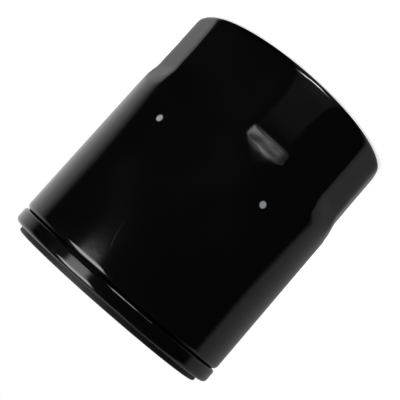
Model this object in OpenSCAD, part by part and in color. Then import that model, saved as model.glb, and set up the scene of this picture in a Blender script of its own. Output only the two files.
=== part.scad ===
// Spin-on oil filter: a rolled-seam can with grip flats, a threaded base and a pleated element.
// It stands on its closed end, with the gasket face up. All sizes are in millimetres.

/* [Can] */
// Outside diameter of the can's body
body_d = 68; // [62:0.25:76]
// Height from the closed end to the gasket's sealing face
overall_h = 77.5; // [68:0.5:130]
// Thickness of the can's sheet
can_wall = 0.4; // [0.3:0.05:0.6]
// Outside radius of the corner round the closed end
end_corner_r = 3; // [2:0.25:5]
// Diameter of the panel pressed into the closed end
end_panel_d = 36; // [24:1:44]
// Depth of that panel
end_panel_depth = 1; // [0.6:0.1:1.6]
// Width of the slope round that panel
end_panel_slope_w = 2; // [1.5:0.1:3]
// Radius of the bends at the two ends of that slope
end_panel_bend_r = 1; // [0.6:0.1:1.5]
// Outside radius where the body necks in below the seam
neck_bend_r = 1.5; // [1.2:0.1:2.5]
// Outside radius where the neck turns up into the seam
neck_root_r = 1; // [0.8:0.1:1.5]
// Gap between the neck and the rolled lower edge of the seam's rim
neck_gap = 0.25; // [0.15:0.05:0.4]

/* [Grip flats] */
// Number of flats round the closed end
flat_count = 15; // [12:1:16]
// Depth of a flat's middle below the body
flat_depth = 1.25; // [0.8:0.05:2]
// Depth below the body of the rounded corners between the flats
corner_depth = 0.6; // [0.3:0.05:0.7]
// Length of the straight part of a flat, from the closed end
flat_h = 19; // [12:0.5:26]
// Height of the slope from a flat out to the body
shoulder_h = 6.5; // [4:0.5:10]
// Radius of the bends at the two ends of the slope
shoulder_bend_r = 8; // [3:0.5:12]

/* [Lid and seam] */
// Thickness of the lid's sheet
lid_t = 0.5; // [0.4:0.05:0.6]
// Height of the rolled seam
seam_h = 4.3; // [4:0.1:5.5]
// Distance by which the seam's rim stands out beyond the body
seam_proud = 0.05; // [0:0.05:0.5]
// Gap between the layers of the rolled seam
seam_gap = 0.05; // [0.02:0.01:0.08]
// Height of the bead that holds the gasket from inside
bead_h = 2; // [1.6:0.1:2.6]
// Width over the bead
bead_w = 2.6; // [2.2:0.1:3.4]
// Radius of the lid's bends, on the centre of its sheet
lid_bend_r = 0.7; // [0.5:0.05:0.8]
// Width of the lid's land inside the bead, where it is welded
weld_land_w = 3.25; // [2.8:0.05:4]
// Number of spot welds that hold the lid to the base plate
weld_count = 8; // [4:1:12]
// Diameter of the dimple that a spot weld leaves
weld_d = 2.2; // [1.6:0.1:2.6]
// Depth of that dimple
weld_depth = 0.2; // [0.1:0.05:0.3]

/* [Gasket] */
// Width of the gasket's ring
gasket_w = 3.9; // [3.2:0.1:4.4]
// Height of the gasket
gasket_h = 4.5; // [4:0.1:5.5]
// Height by which the gasket stands proud of the seam
gasket_proud = 1.5; // [1:0.1:2]
// Radius of the gasket's corners
gasket_corner_r = 0.5; // [0.2:0.1:0.8]
// Clearance between the gasket and each wall of its channel
gasket_play = 0.15; // [0.05:0.05:0.3]

/* [Base plate] */
// Radial clearance between the base plate and the can
plate_play = 1; // [0.4:0.1:2]
// Thickness of the base plate
plate_t = 3; // [2:0.25:4]
// Bore of the mounting thread, at its crests: M20 x 1.5
thread_bore_d = 18.38; // [16:0.02:19]
// Wall of the threaded collar, from the thread's crests out
collar_wall = 2.21; // [1.8:0.01:3]
// Length of the collar below the plate
collar_h = 5; // [4:0.25:6]
// Radius of the plate's edges
plate_edge_r = 0.5; // [0.2:0.05:0.8]
// Chamfer at the thread's mouth
thread_chamfer = 0.8; // [0.4:0.1:1.2]
// Number of oil inlet holes
inlet_count = 8; // [6:1:10]
// Diameter of an inlet hole
inlet_d = 5.5; // [4.5:0.1:6]
// Distance from an inlet hole to the lid's edge
inlet_land_w = 0.45; // [0.2:0.05:1]

/* [Anti-drain-back valve] */
// Height of the valve's hub
valve_hub_h = 4.5; // [4:0.25:6]
// Width of the hub's ring
valve_hub_w = 2.7; // [2:0.1:2.9]
// Thickness of the diaphragm
valve_t = 1.2; // [0.8:0.1:1.6]
// Outside diameter of the lip
valve_lip_d = 51; // [48:0.5:54]
// Width of the band where the lip meets the plate
valve_lip_w = 1; // [0.6:0.1:1.6]
// Clearance between the hub and the end cap's neck
valve_play = 0.05; // [0.02:0.01:0.1]

/* [Element] */
// Diameter over the end caps
cap_d = 57.2; // [54:0.2:60]
// Thickness of the end caps' sheet
cap_t = 0.4; // [0.3:0.05:0.6]
// Height of the caps' outer rim
cap_rim_h = 3.5; // [2:0.25:6]
// Height of the neck on the base end cap
cap_neck_h = 3.4; // [2:0.1:3.8]
// Radius of the caps' bends, on the centre of the sheet
cap_bend_r = 0.6; // [0.4:0.1:1]
// Radial clearance between the neck and the collar
neck_play = 0.35; // [0.3:0.05:0.5]
// Radial gap between the collar and the centre tube
tube_gap = 1; // [0.8:0.1:1.4]
// Wall of the centre tube
tube_wall = 0.4; // [0.3:0.05:0.6]
// Diameter of a hole in the centre tube
tube_hole_d = 4; // [3:0.25:5]
// Number of holes round the centre tube
tube_holes_round = 8; // [6:1:10]
// Distance between rows of those holes
tube_row_step = 6.5; // [5.5:0.25:9]
// Thickness of the adhesive in each cap
adhesive_t = 1; // [0.6:0.1:1.6]
// Clearance between the adhesive and the centre tube
adhesive_play = 0.05; // [0.02:0.01:0.1]
// Number of pleats
pleat_count = 48; // [36:1:52]
// Thickness of the filter paper
paper_t = 0.5; // [0.3:0.05:0.55]
// Half the width of a pleat's outer fold
fold_half_w = 0.7; // [0.6:0.02:0.8]
// Half the width of the slot between two pleats at the inner fold
slot_half_w = 0.18; // [0.14:0.01:0.2]
// Clearance between the paper and the pieces round it
paper_play = 0.25; // [0.15:0.05:0.4]
// Thickness of the paper clip's sheet
clip_t = 0.3; // [0.2:0.05:0.4]
// Depth of the paper clip
clip_depth = 3; // [2:0.25:4]
// Clearance between the clip and the fold that it closes
clip_play = 0.05; // [0.02:0.01:0.1]

/* [Bypass valve] */
// Diameter of the port in the dome end cap
port_d = 9; // [7:0.25:10]
// Width by which the seal covers the port's edge
seal_land_w = 2.4; // [1.6:0.1:2.6]
// Thickness of the seal
seal_t = 1.2; // [0.8:0.1:2]
// Width of the poppet's disc beyond the seal
poppet_rim_w = 0.4; // [0.2:0.1:0.6]
// Thickness of the poppet's disc
poppet_t = 0.8; // [0.6:0.1:1.2]
// Diameter of the stem through the seal
stem_d = 3.9; // [3:0.1:5]
// Clearance between the stem and the seal
stem_play = 0.05; // [0.02:0.01:0.1]
// Diameter of the boss that centres the coil
boss_d = 7.2; // [6:0.1:8]
// Height of that boss
boss_h = 2; // [1:0.25:3]
// Wire of the coil
wire_d = 0.9; // [0.7:0.05:1.1]
// Clearance between the boss and the coil
coil_play = 0.4; // [0.3:0.05:0.6]
// Height of the coil with the valve shut
coil_h = 10; // [9:0.25:14]
// Number of turns in the coil
coil_turns = 5; // [4:1:5]
// Width of the cage's flange
cage_flange_w = 2.2; // [1.6:0.1:2.6]
// Thickness of the cage's sheet
cage_t = 0.5; // [0.4:0.05:0.6]
// Clearance between the cage's flange and the centre tube
cage_play = 0.2; // [0.1:0.05:0.3]
// Radius of the cage's bends, on the centre of the sheet
cage_bend_r = 0.6; // [0.5:0.05:0.8]
// Number of windows round the cage
window_count = 4; // [3:1:5]
// Width of a window
window_w = 6; // [4:0.25:7]
// Height of a window
window_h = 6.5; // [4:0.25:7]
// Diameter of the hole in the top of the cage
cage_hole_d = 6; // [4:0.25:7]

/* [Element spring] */
// Height of the leaf spring between the closed end and the element
leaf_h = 8.6; // [7:0.2:12]
// Thickness of the leaf
leaf_t = 0.8; // [0.6:0.05:1]
// Inside diameter of the leaf's ring
leaf_ring_id = 18; // [14:0.5:19]
// Outside diameter of the leaf's ring
leaf_ring_od = 30; // [27:0.5:32]
// Number of arms
arm_count = 4; // [3:1:6]
// Width of an arm
arm_w = 8; // [5:0.25:9]
// Radius of the circle on which the arms' feet stand
arm_foot_r = 24; // [22:0.25:25]
// Length of the flat foot
arm_foot_w = 3; // [2:0.25:4]
// Length of the turned-up toe beyond the foot
arm_toe = 2; // [1.5:0.1:2.5]
// Radius of the arm's bends, on the centre of the sheet
arm_bend_r = 1.5; // [1:0.1:2]

/* [Hidden] */
$fn = 96;
// Reach of a cutting tool beyond the face that it cuts
cut = 2;

// Heights of the base, from the gasket's face down
seam_top = overall_h - gasket_proud;
seam_bottom = seam_top - seam_h;
channel_z = overall_h - gasket_h;
plate_top = channel_z - lid_t;
plate_bottom = plate_top - plate_t;
collar_bottom = plate_bottom - collar_h;

// Heights of the element, between the base and the leaf spring
cap_top = plate_bottom - valve_hub_h;
base_glue_top = cap_top - cap_t;
paper_top = base_glue_top - adhesive_t;
floor_z = can_wall;
dome_cap_bottom = floor_z + leaf_h;
dome_glue_bottom = dome_cap_bottom + cap_t;
paper_bottom = dome_glue_bottom + adhesive_t;

// Layers of the rolled seam, from outside in: lid, can, lid, can, lid
layer_step = lid_t / 2 + seam_gap + can_wall / 2;
seam_rim_r = body_d / 2 + seam_proud - lid_t / 2;
lid_hook_r = seam_rim_r - 2 * layer_step;
can_rise_r = lid_hook_r - layer_step;
seam_wall_r = can_rise_r - layer_step;
roll_r = 2 * layer_step;
hook_mid_z = seam_top - lid_t / 2 - roll_r;
hook_tip_z = seam_bottom + lid_t + layer_step + seam_gap;

// Radii of the base, from the seam inwards
gasket_ro = seam_wall_r - lid_t / 2 - gasket_play;
gasket_ri = gasket_ro - gasket_w;
bead_ro = gasket_ri - gasket_play;
bead_ri = bead_ro - bead_w;
lid_hole_r = bead_ri - weld_land_w;
inlet_circle_r = lid_hole_r - inlet_land_w - inlet_d / 2;
plate_r = can_rise_r - can_wall / 2 - plate_play;
bore_r = thread_bore_d / 2;
collar_r = bore_r + collar_wall;

// Radii of the element
neck_ri = collar_r + neck_play;
valve_ri = neck_ri + cap_t + valve_play;
tube_ri = collar_r + tube_gap;
tube_ro = tube_ri + tube_wall;
rim_ri = cap_d / 2 - cap_t;
paper_ri = tube_ro + paper_play;
paper_ro = rim_ri - paper_play - clip_t - clip_play;

// Radii and heights of the bypass valve, which stands on the dome end cap
valve_seat_z = dome_glue_bottom;
seal_r = port_d / 2 + seal_land_w;
poppet_r = seal_r + poppet_rim_w;
poppet_z = valve_seat_z + seal_t;
coil_bottom = poppet_z + poppet_t;
coil_r = boss_d / 2 + coil_play + wire_d / 2;
cage_ro = tube_ri - cage_play - cage_flange_w;
cage_top = coil_bottom + coil_h + cage_t;

// Paths

function unit(v) = v / norm(v);
function reverse(list) = [for (i = [len(list) - 1 : -1 : 0]) list[i]];
function polar(r, a) = [r * cos(a), r * sin(a)];

// Rounds a corner: a is before it, b is the corner as [x, y, radius], and c is after it
function corner(a, b, c, steps) =
  let (p = [b.x, b.y], r = b[2])
  let (u = unit([a.x, a.y] - p), v = unit([c.x, c.y] - p))
  let (half = acos(max(-1, min(1, u * v))) / 2)
  let (mid = p + unit(u + v) * r / sin(half))
  let (from = p + u * r / tan(half) - mid, to = p + v * r / tan(half) - mid)
  let (a0 = atan2(from.y, from.x), turn = (atan2(to.y, to.x) - a0 + 900) % 360 - 180)
  [for (k = [0 : steps]) mid + polar(r, a0 + turn * k / steps)];

// Drops each point that repeats the one before it
function distinct(path) = [
  for (i = [0 : len(path) - 1])
    if (i == 0 || norm(path[i] - path[max(i, 1) - 1]) > 0.0001) path[i]
];

// Turns a list of corners, each [x, y] or [x, y, radius], into a path with rounded corners
function rounded(path, steps = 5) = distinct([
  for (i = [0 : len(path) - 1])
    each path[i][2] == undef ? [[path[i].x, path[i].y]]
      : corner(path[i - 1], path[i], path[i + 1], steps)
]);

// Moves a path sideways: a positive distance goes to the left of its direction
function beside(path, distance) = [
  for (i = [0 : len(path) - 1])
    let (d0 = unit(path[max(i, 1)] - path[max(i, 1) - 1]))
    let (last = len(path) - 1, d1 = unit(path[min(i, last - 1) + 1] - path[min(i, last - 1)]))
    let (n0 = [-d0.y, d0.x], n1 = [-d1.y, d1.x])
    path[i] + distance * (n0 + n1) / (1 + n0 * n1)
];

// Outline of a bent sheet of thickness t, whose centre follows the corners
function sheet(corners, t) =
  let (path = rounded(corners))
  concat(beside(path, t / 2), reverse(beside(path, -t / 2)));

module revolve(outline) {
  rotate_extrude() polygon(distinct(outline));
}

module ring(r_out, r_in, z_low, z_high) {
  revolve([[r_in, z_low], [r_out, z_low], [r_out, z_high], [r_in, z_high]]);
}

module around(count, start = 0) {
  for (i = [0 : count - 1]) rotate(start + i * 360 / count) children();
}

// Extrudes an outline in the radius-height plane to both sides of that plane
module slab(outline, width) {
  rotate([90, 0, 0]) linear_extrude(width, center = true) polygon(outline);
}

// Can

flat_r = body_d / 2 - flat_depth;
corner_r = body_d / 2 - corner_depth;
corner_slope_h = shoulder_h * corner_depth / flat_depth;
neck_in = body_d / 2 - (can_rise_r + can_wall / 2);
neck_angle = acos(1 - neck_in / (neck_bend_r + neck_root_r));
neck_h = (neck_bend_r + neck_root_r) * sin(neck_angle);
neck_bottom = seam_bottom - neck_gap + neck_root_r - neck_h;
slope_angle = atan(flat_depth / shoulder_h);
// The bends at the corners keep within the short slope that lies there
corner_bend_r = min(shoulder_bend_r, 0.4 * corner_slope_h / tan(slope_angle / 2));

// Outer face of the can, from the middle of the closed end up to the seam
function can_face() = concat(
  rounded([
    [0, end_panel_depth],
    [end_panel_d / 2 - end_panel_slope_w, end_panel_depth, end_panel_bend_r],
    [end_panel_d / 2, 0, end_panel_bend_r],
    [corner_r, 0, end_corner_r],
    [corner_r, flat_h, corner_bend_r],
    [body_d / 2, flat_h + corner_slope_h, corner_bend_r],
    [body_d / 2, neck_bottom]
  ]),
  [for (k = [1 : 5]) [body_d / 2 - neck_bend_r, neck_bottom] + polar(neck_bend_r, neck_angle * k / 5)],
  [
    for (k = [4 : -1 : 0])
      [can_rise_r + can_wall / 2 + neck_root_r, neck_bottom + neck_h]
        + polar(neck_root_r, 180 + neck_angle * k / 5)
  ],
  [[can_rise_r + can_wall / 2, hook_mid_z]]
);

// Outer face of the can's hook, over the top and down inside the lid's rim
function hook_face() =
  let (r = layer_step - can_wall / 2)
  concat(
    [for (k = [0 : 6]) [lid_hook_r, hook_mid_z] + polar(r, 180 - 30 * k)],
    [[lid_hook_r + r, hook_tip_z]]
  );

// Cutter that leaves one grip flat, moved in by the sheet's thickness for the inner face
module flat_cutter(inset) {
  // The slope runs on beyond the body, by as many of its own heights
  reach = 3;
  edge = rounded([
    [flat_r, -cut],
    [flat_r, flat_h, shoulder_bend_r],
    [flat_r + reach * flat_depth, flat_h + reach * shoulder_h]
  ]);
  far = [[body_d, flat_h + reach * shoulder_h], [body_d, -cut]];
  slab(concat(beside(edge, inset), far), body_d * tan(180 / flat_count) + 2 * cut);
}

module can() {
  outer = distinct(concat(can_face(), hook_face()));
  inner = beside(outer, can_wall);
  rise = len(can_face()) - 1;
  mouth = inner[rise];
  hook_back = [for (i = [len(inner) - 1 : -1 : rise]) inner[i]];
  space = [for (i = [0 : rise]) inner[i]];
  color("#15161a") difference() {
    revolve(concat(outer, hook_back, [[0, mouth.y]]));
    around(flat_count, -90) flat_cutter(0);
    difference() {
      revolve(concat(space, [[mouth.x, mouth.y + cut], [0, mouth.y + cut]]));
      around(flat_count, -90) flat_cutter(can_wall);
    }
  }
}

// Lid, gasket and base plate

module lid() {
  floor_mid = channel_z - lid_t / 2;
  bead_mid = channel_z + bead_h - lid_t / 2;
  rim_bottom = seam_bottom + lid_t / 2;
  color("#8d9094") difference() {
    revolve(sheet([
      [lid_hole_r, floor_mid],
      [bead_ri + lid_t / 2, floor_mid, lid_bend_r],
      [bead_ri + lid_t / 2, bead_mid, lid_bend_r],
      [bead_ro - lid_t / 2, bead_mid, lid_bend_r],
      [bead_ro - lid_t / 2, floor_mid, lid_bend_r],
      [seam_wall_r, floor_mid, lid_bend_r],
      [seam_wall_r, seam_top - lid_t / 2, roll_r],
      [seam_rim_r, seam_top - lid_t / 2, roll_r],
      [seam_rim_r, rim_bottom, layer_step],
      [lid_hook_r, rim_bottom, layer_step],
      [lid_hook_r, hook_mid_z]
    ], lid_t));
    around(weld_count) translate([(lid_hole_r + bead_ri) / 2, 0, channel_z - weld_depth])
      cylinder(d = weld_d, h = cut);
  }
}

module gasket() {
  color("#101012") revolve(rounded([
    [gasket_ri, channel_z + gasket_corner_r],
    [gasket_ri, channel_z, gasket_corner_r],
    [gasket_ro, channel_z, gasket_corner_r],
    [gasket_ro, overall_h, gasket_corner_r],
    [gasket_ri, overall_h, gasket_corner_r],
    [gasket_ri, overall_h - gasket_corner_r]
  ]));
}

module base_plate() {
  color("#a3a49d") difference() {
    revolve(rounded([
      [bore_r, collar_bottom],
      [collar_r, collar_bottom, plate_edge_r],
      [collar_r, plate_bottom],
      [plate_r, plate_bottom, plate_edge_r],
      [plate_r, plate_top, plate_edge_r],
      [bore_r + thread_chamfer, plate_top],
      [bore_r, plate_top - thread_chamfer]
    ]));
    around(inlet_count, 180 / inlet_count) translate([inlet_circle_r, 0, plate_bottom - cut])
      cylinder(d = inlet_d, h = plate_t + 2 * cut);
  }
}

module drain_valve() {
  hub_ro = valve_ri + valve_hub_w;
  lip_r = valve_lip_d / 2;
  color("#1c1b1b") revolve([
    [valve_ri, cap_top + cap_bend_r],
    [valve_ri + cap_bend_r, cap_top],
    [hub_ro, cap_top],
    [lip_r, plate_bottom - valve_t],
    [lip_r, plate_bottom],
    [lip_r - valve_lip_w, plate_bottom],
    [hub_ro, cap_top + valve_t],
    [hub_ro, plate_bottom],
    [valve_ri, plate_bottom]
  ]);
}

// Element

module base_end_cap() {
  mid = cap_top - cap_t / 2;
  color("#b4b2a8") revolve(sheet([
    [neck_ri + cap_t / 2, cap_top + cap_neck_h],
    [neck_ri + cap_t / 2, mid, cap_bend_r],
    [cap_d / 2 - cap_t / 2, mid, cap_bend_r],
    [cap_d / 2 - cap_t / 2, cap_top - cap_rim_h]
  ], cap_t));
}

module dome_end_cap() {
  mid = dome_cap_bottom + cap_t / 2;
  color("#b4b2a8") revolve(sheet([
    [port_d / 2, mid],
    [cap_d / 2 - cap_t / 2, mid, cap_bend_r],
    [cap_d / 2 - cap_t / 2, dome_cap_bottom + cap_rim_h]
  ], cap_t));
}

module base_adhesive() {
  color("#6d6a52") ring(paper_ro, tube_ro + adhesive_play, paper_top, base_glue_top);
}

module dome_adhesive() {
  color("#6d6a52") ring(paper_ro, tube_ro + adhesive_play, dome_glue_bottom, paper_bottom);
}

// One face of the pleated paper, as the outline of its outer or its inner side
function pleats(fold_r, fold_w, slot_r, slot_w) = [
  for (i = [0 : pleat_count - 1])
    let (a = i * 360 / pleat_count, half = 180 / pleat_count)
    let (fold = asin(fold_w / fold_r), slot = asin(slot_w / slot_r))
    each [
      polar(fold_r, a - fold),
      polar(fold_r, a + fold),
      polar(slot_r, a + half - slot),
      polar(slot_r, a + half + slot)
    ]
];

module filter_paper() {
  color("#d8c07a") translate([0, 0, paper_bottom]) linear_extrude(paper_top - paper_bottom) difference() {
    polygon(pleats(paper_ro, fold_half_w, paper_ri + paper_t, slot_half_w));
    polygon(pleats(paper_ro - paper_t, fold_half_w - paper_t, paper_ri, slot_half_w + paper_t));
  }
}

module paper_clip() {
  half_w = fold_half_w + clip_play;
  tip = paper_ro + clip_play;
  color("#c9c9c4") translate([0, 0, paper_bottom]) linear_extrude(paper_top - paper_bottom) difference() {
    translate([tip - clip_depth, -half_w - clip_t]) square([clip_depth + clip_t, 2 * (half_w + clip_t)]);
    translate([tip - clip_depth - cut, -half_w]) square([clip_depth + cut, 2 * half_w]);
  }
}

module centre_tube() {
  length = base_glue_top - dome_glue_bottom;
  rows = floor((length - 2 * tube_hole_d) / tube_row_step) + 1;
  first = dome_glue_bottom + (length - (rows - 1) * tube_row_step) / 2;
  color("#bdbdb8") difference() {
    ring(tube_ro, tube_ri, dome_glue_bottom, base_glue_top);
    for (row = [0 : rows - 1])
      around(tube_holes_round, (row % 2) * 180 / tube_holes_round)
        translate([tube_ri - cut, 0, first + row * tube_row_step])
          rotate([0, 90, 0]) cylinder(d = tube_hole_d, h = tube_wall + 2 * cut, $fn = 32);
  }
}

// Bypass valve

module bypass_seal() {
  color("#1b1b1d") ring(seal_r, stem_d / 2 + stem_play, valve_seat_z, poppet_z);
}

module bypass_poppet() {
  color("#9a9c9e") revolve([
    [0, valve_seat_z],
    [stem_d / 2, valve_seat_z],
    [stem_d / 2, poppet_z],
    [poppet_r, poppet_z],
    [poppet_r, coil_bottom],
    [boss_d / 2, coil_bottom],
    [boss_d / 2, coil_bottom + boss_h],
    [0, coil_bottom + boss_h]
  ]);
}

// Points along the coil's wire, 8 to a turn
coil_steps = 8 * coil_turns;
coil_rise = coil_h - wire_d;
coil_slope = coil_rise / (2 * PI * coil_r * coil_turns);
function coil_point(k) =
  let (p = polar(coil_r, 45 * k))
  [p.x, p.y, coil_bottom + wire_d / 2 + coil_rise * k / coil_steps];
// One ring of the wire's surface, square to the coil's run
function coil_ring(k) =
  let (out = [cos(45 * k), sin(45 * k), 0], run = unit([-sin(45 * k), cos(45 * k), coil_slope]))
  [for (s = [0 : 5]) coil_point(k) + wire_d / 2 * (out * cos(60 * s) + cross(run, out) * sin(60 * s))];
// Least gap between two turns
coil_gap = min([
  for (i = [0 : coil_steps])
    for (j = [i + 6 : 1 : coil_steps]) norm(coil_point(i) - coil_point(j))
]) - wire_d;
echo(least_gap_between_the_turns_of_the_coil = coil_gap);

module bypass_spring() {
  points = [for (k = [0 : coil_steps]) each coil_ring(k)];
  last = 6 * coil_steps;
  sides = [
    for (k = [0 : coil_steps - 1])
      for (s = [0 : 5])
        let (a = 6 * k + s, b = 6 * k + (s + 1) % 6)
        each [[a, a + 6, b], [b, a + 6, b + 6]]
  ];
  ends = [for (s = [1 : 4]) each [[0, s, s + 1], [last, last + s + 1, last + s]]];
  color("#8f9498") polyhedron(points, concat(sides, ends));
}

module bypass_cage() {
  wall_mid = cage_ro - cage_t / 2;
  color("#a9abad") difference() {
    revolve(sheet([
      [tube_ri - cage_play, valve_seat_z + cage_t / 2],
      [wall_mid, valve_seat_z + cage_t / 2, cage_bend_r],
      [wall_mid, cage_top - cage_t / 2, cage_bend_r],
      [cage_hole_d / 2, cage_top - cage_t / 2]
    ], cage_t));
    around(window_count) translate([cage_ro, 0, (valve_seat_z + cage_top) / 2])
      cube([2 * cut, window_w, window_h], center = true);
  }
}

// Element spring

module element_spring() {
  top = dome_cap_bottom - leaf_t / 2;
  foot = floor_z + leaf_t / 2;
  ring_mid = (leaf_ring_id + leaf_ring_od) / 4;
  color("#787c82") union() {
    ring(leaf_ring_od / 2, leaf_ring_id / 2, dome_cap_bottom - leaf_t, dome_cap_bottom);
    around(arm_count, 180 / arm_count) slab(sheet([
      [ring_mid, top],
      [leaf_ring_od / 2 + arm_bend_r, top, arm_bend_r],
      [arm_foot_r - arm_foot_w / 2, foot, arm_bend_r],
      [arm_foot_r + arm_foot_w / 2, foot, arm_bend_r],
      [arm_foot_r + arm_foot_w / 2 + arm_toe, foot + arm_toe / 2]
    ], leaf_t), arm_w);
  }
}

can();
lid();
gasket();
base_plate();
drain_valve();
base_end_cap();
base_adhesive();
filter_paper();
paper_clip();
centre_tube();
dome_adhesive();
dome_end_cap();
bypass_seal();
bypass_poppet();
bypass_spring();
bypass_cage();
element_spring();
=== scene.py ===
# %% [markdown]
# # A spin-on oil filter, dressed on its packed frame
# The packed model gives every piece its place: the filter stands on its closed end, its axis is
# Z, and the gasket's face is on top. Everything is made around that frame, in metres. The can,
# lid, gasket and base plate are modelled again with soft bends and a real thread, and so are the
# two springs, which flatten as the filter works. The rest keep their solids and get a finish.

# %% Load the frame
import math

import bmesh
import bpy
from mathutils import Matrix, Vector


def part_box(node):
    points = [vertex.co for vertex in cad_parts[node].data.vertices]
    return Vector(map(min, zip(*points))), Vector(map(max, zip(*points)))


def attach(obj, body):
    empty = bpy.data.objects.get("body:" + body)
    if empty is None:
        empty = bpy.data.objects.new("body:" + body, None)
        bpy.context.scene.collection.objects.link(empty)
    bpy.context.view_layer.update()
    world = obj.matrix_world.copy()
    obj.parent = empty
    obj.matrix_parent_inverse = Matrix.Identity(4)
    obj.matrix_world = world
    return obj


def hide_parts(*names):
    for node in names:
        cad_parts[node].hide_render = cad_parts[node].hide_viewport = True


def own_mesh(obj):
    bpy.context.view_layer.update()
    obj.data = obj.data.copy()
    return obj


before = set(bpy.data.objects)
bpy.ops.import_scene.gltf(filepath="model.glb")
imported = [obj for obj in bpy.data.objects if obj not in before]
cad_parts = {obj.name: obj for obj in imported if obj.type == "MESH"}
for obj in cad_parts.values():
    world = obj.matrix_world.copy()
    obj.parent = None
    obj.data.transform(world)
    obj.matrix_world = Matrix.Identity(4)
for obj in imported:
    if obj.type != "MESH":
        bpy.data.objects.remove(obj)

MM = 0.001
scene = bpy.context.scene
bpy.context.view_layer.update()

# %% [markdown]
# ## Sizes that several pieces share
# The can and the lid are two sheets of steel whose edges are rolled together. Both follow the
# same seam, so its layers are worked out once, from the outside in, and every piece that meets
# the seam reads its radius here.

# %% Read the sizes from the frame
body_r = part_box("can")[1].x
seam_r, seam_top, seam_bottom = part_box("lid")[1].x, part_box("lid")[1].z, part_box("lid")[0].z
gasket_r, gasket_top, channel_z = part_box("gasket")[1].x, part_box("gasket")[1].z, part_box("gasket")[0].z
plate_r, plate_top, collar_bottom = (
    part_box("base_plate")[1].x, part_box("base_plate")[1].z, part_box("base_plate")[0].z)

can_sheet = 0.4 * MM
lid_sheet = 0.5 * MM
seam_gap = 0.05 * MM
layer = lid_sheet / 2 + seam_gap + can_sheet / 2
seam_rim_r = seam_r - lid_sheet / 2
lid_hook_r = seam_rim_r - 2 * layer
can_rise_r = lid_hook_r - layer
seam_wall_r = can_rise_r - layer
roll_r = 2 * layer
hook_z = seam_top - lid_sheet / 2 - roll_r
seam_layers = (seam_wall_r, can_rise_r, lid_hook_r, seam_rim_r)
print("seam layers at radii in mm:", [round(radius / MM, 2) for radius in seam_layers])

# %% [markdown]
# ## Helpers for turned sheet metal
# A pressed sheet is a line in the X-Z plane, spun round Z. The line has one vertex for each
# corner, and a vertex bevel rounds the corners that have a bend, so the outline stays short and
# the bend radius is the number on the drawing. Arcs computed point by point would take more code.

# %% Draw a profile
deg = math.radians
fewest_bend_steps, bend_step, round_profile = 4, deg(8), 0.5


def introduce(*helpers):
    """Prints what each helper is for."""
    for helper in helpers:
        print(helper.__name__ + ":", helper.__doc__)


def draw_profile(bm, corners, closed=False):
    """Draws a line through (radius, height, bend) corners and rounds each corner that has a bend."""
    points = [Vector((radius, 0, height)) for radius, height, bend in corners]
    verts = [bm.verts.new(point) for point in points]
    ends = verts[1:] + verts[:1]
    for start, end in zip(verts, ends if closed else ends[:-1]):
        bm.edges.new((start, end))
    for i, (radius, height, bend) in enumerate(corners):
        if bend:
            into = points[i - 1] - points[i]
            out = points[(i + 1) % len(points)] - points[i]
            half = into.angle(out) / 2
            steps = math.ceil((math.pi - 2 * half) / bend_step)
            bmesh.ops.bevel(
                bm, geom=[verts[i]], offset=bend / math.tan(half), offset_type="ABSOLUTE",
                segments=max(fewest_bend_steps, steps), profile=round_profile, affect="VERTICES",
                material=-1)


def cut_edges(bm, span, low, high):
    """Cuts the profile's edges to a length of about span, between two heights."""
    for edge in bm.edges[:]:
        length = edge.calc_length()
        if length > span and all(low <= vert.co.z <= high for vert in edge.verts):
            bmesh.ops.subdivide_edges(bm, edges=[edge], cuts=math.ceil(length / span) - 1)


introduce(draw_profile, cut_edges)

# %% Spin a profile into a piece
tiny = 0.001 * MM


def spin(bm, steps, turns=1, rise=0):
    """Spins the profile round Z. With a rise in each step it winds a helix."""
    bmesh.ops.spin(
        bm, geom=bm.verts[:] + bm.edges[:], cent=(0, 0, 0), axis=(0, 0, 1), dvec=(0, 0, rise),
        angle=turns * math.tau, steps=steps, use_merge=not rise)


def spin_round(bm, steps):
    """Spins the profile into a closed round, merges its seam and its pole, and turns faces outwards."""
    spin(bm, steps)
    bmesh.ops.remove_doubles(bm, verts=bm.verts[:], dist=tiny)
    bmesh.ops.recalc_face_normals(bm, faces=bm.faces[:])


def add_object(name, data):
    """Puts an object with its data into the scene."""
    added = bpy.data.objects.new(name, data)
    scene.collection.objects.link(added)
    return added


def add_mesh(name, bm):
    """Turns a bmesh into an object."""
    mesh = bpy.data.meshes.new(name)
    bm.to_mesh(mesh)
    bm.free()
    return add_object(name, mesh)


def finish_piece(bm, name, body, nodes, slot, sharp_angle):
    """Turns a bmesh into a smooth-shaded piece that rides on a body and stands for CAD nodes."""
    piece = add_mesh(name, bm)
    piece.data.shade_smooth()
    piece.data.set_sharp_from_angle(angle=sharp_angle)
    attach(piece, body)
    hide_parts(*nodes)
    print(name, "has", len(piece.data.polygons), "faces")
    return piece


def thicken(piece, thickness, offset):
    """Gives a sheet its thickness: offset -1 grows inwards, 0 grows to both sides."""
    wall = piece.modifiers.new("sheet", "SOLIDIFY")
    wall.thickness = thickness
    wall.offset = offset
    wall.use_even_offset = True


introduce(spin, spin_round, add_object, add_mesh, finish_piece, thicken)

# %% [markdown]
# ## The can
# The can is drawn from one disc of steel, and fifteen grip flats are pressed in round its closed
# end. Cutting the flats with planes would leave knife edges that no press makes. So the round can
# is spun first, and each wall point is pushed in to the lower of two radii, the round wall and
# the flat. A soft minimum of the two rounds the edge between them, as metal does. A ring of
# points just short of a bend holds the wall's shading straight up to it.

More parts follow.
